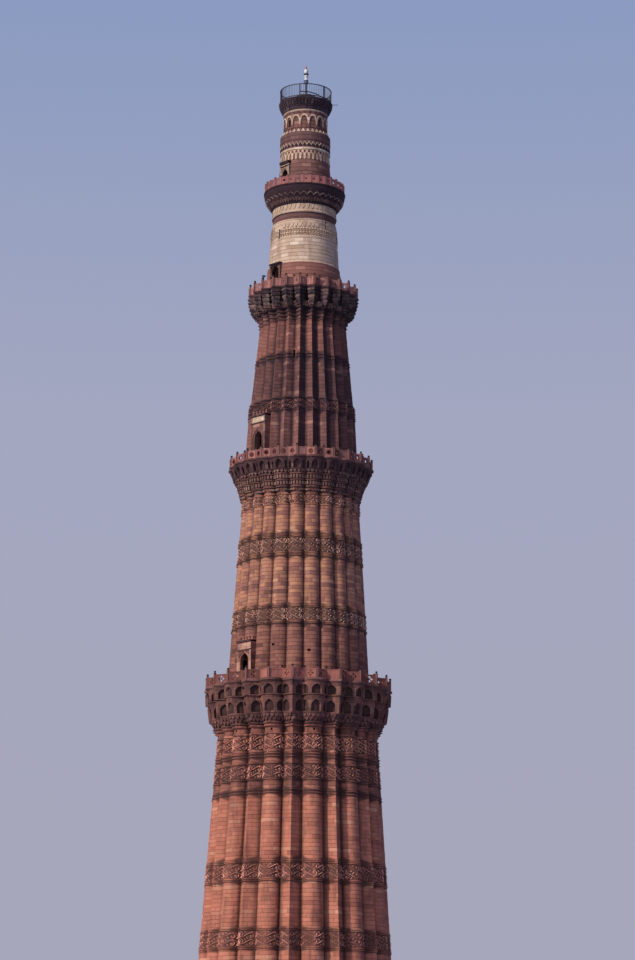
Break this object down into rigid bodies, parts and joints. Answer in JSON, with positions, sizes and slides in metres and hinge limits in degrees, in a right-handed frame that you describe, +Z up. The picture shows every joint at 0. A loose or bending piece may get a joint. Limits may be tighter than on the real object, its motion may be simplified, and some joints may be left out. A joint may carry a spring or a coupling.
{
  "type": "fluted stone minaret, scale model at 1:2",
  "caption": "Tall tapering stone minaret: fluted red sandstone storeys, marble upper storeys, balconies on carved corbels with stone balustrades, a door at each level, railing and lamp on top.",
  "frame": {"origin": "middle of the plinth's underside, at ground level", "axes": "+Z up the tower's axis, -Y towards the side with the doors, +X to the right of someone facing the doors"},
  "size_m": [7.6, 7.6, 37.5],
  "materials": {
    "red_sandstone": "dressed red sandstone, weathered",
    "buff_sandstone": "dressed buff and pink sandstone in bands",
    "maroon_sandstone": "dressed dark red sandstone",
    "marble": "pale marble over a foot of red sandstone, weathered",
    "brown_sandstone": "brown-red sandstone with marble trim",
    "stained_sandstone": "carved sandstone, stained dark",
    "pink_sandstone": "newer pink sandstone panels",
    "painted_iron": "dark painted iron",
    "painted_white": "white painted metal"
  },
  "bodies": {
    "root": {"plinth": "red_sandstone", "storey_1_left_jamb": "red_sandstone", "storey_1_right_jamb": "red_sandstone", "storey_1_front_wall": "red_sandstone", "storey_1_right_wall": "red_sandstone", "storey_1_back_wall": "red_sandstone", "storey_1_left_wall": "red_sandstone", "storey_1_door_surround": "red_sandstone", "storey_2_left_jamb": "buff_sandstone", "storey_2_right_jamb": "buff_sandstone", "storey_2_front_wall": "buff_sandstone", "storey_2_right_wall": "buff_sandstone", "storey_2_back_wall": "buff_sandstone", "storey_2_left_wall": "buff_sandstone", "storey_2_door_surround": "buff_sandstone", "storey_3_left_jamb": "maroon_sandstone", "storey_3_right_jamb": "maroon_sandstone", "storey_3_front_wall": "maroon_sandstone", "storey_3_right_wall": "maroon_sandstone", "storey_3_back_wall": "maroon_sandstone", "storey_3_left_wall": "maroon_sandstone", "storey_3_door_surround": "maroon_sandstone", "storey_4_left_jamb": "marble", "storey_4_right_jamb": "marble", "storey_4_front_wall": "marble", "storey_4_right_wall": "marble", "storey_4_back_wall": "marble", "storey_4_left_wall": "marble", "storey_4_front_upper_left": "marble", "storey_4_front_upper_right": "marble", "storey_4_back_upper_left": "marble", "storey_4_back_upper_right": "marble", "storey_4_door_surround": "marble", "storey_5_left_jamb": "brown_sandstone", "storey_5_right_jamb": "brown_sandstone", "storey_5_front_wall": "brown_sandstone", "storey_5_right_wall": "brown_sandstone", "storey_5_back_wall": "brown_sandstone", "storey_5_left_wall": "brown_sandstone", "storey_5_door_surround": "brown_sandstone", "balcony_1_corbels": "stained_sandstone", "balcony_1_deck": "stained_sandstone", "balcony_1_balustrade": "pink_sandstone", "balcony_2_corbels": "stained_sandstone", "balcony_2_deck": "stained_sandstone", "balcony_2_balustrade": "pink_sandstone", "balcony_3_corbels": "stained_sandstone", "balcony_3_deck": "stained_sandstone", "balcony_3_balustrade": "pink_sandstone", "balcony_4_corbels": "stained_sandstone", "balcony_4_deck": "stained_sandstone", "balcony_4_balustrade": "pink_sandstone", "crown_cornice": "stained_sandstone", "crown_deck": "stained_sandstone", "crown_stump": "stained_sandstone", "crown_mast": "painted_iron", "crown_lamp": "painted_white", "crown_railing": "painted_iron", "crown_rod": "painted_iron", "balcony_3_floodlight": "painted_iron"}
  },
  "joints": []
}
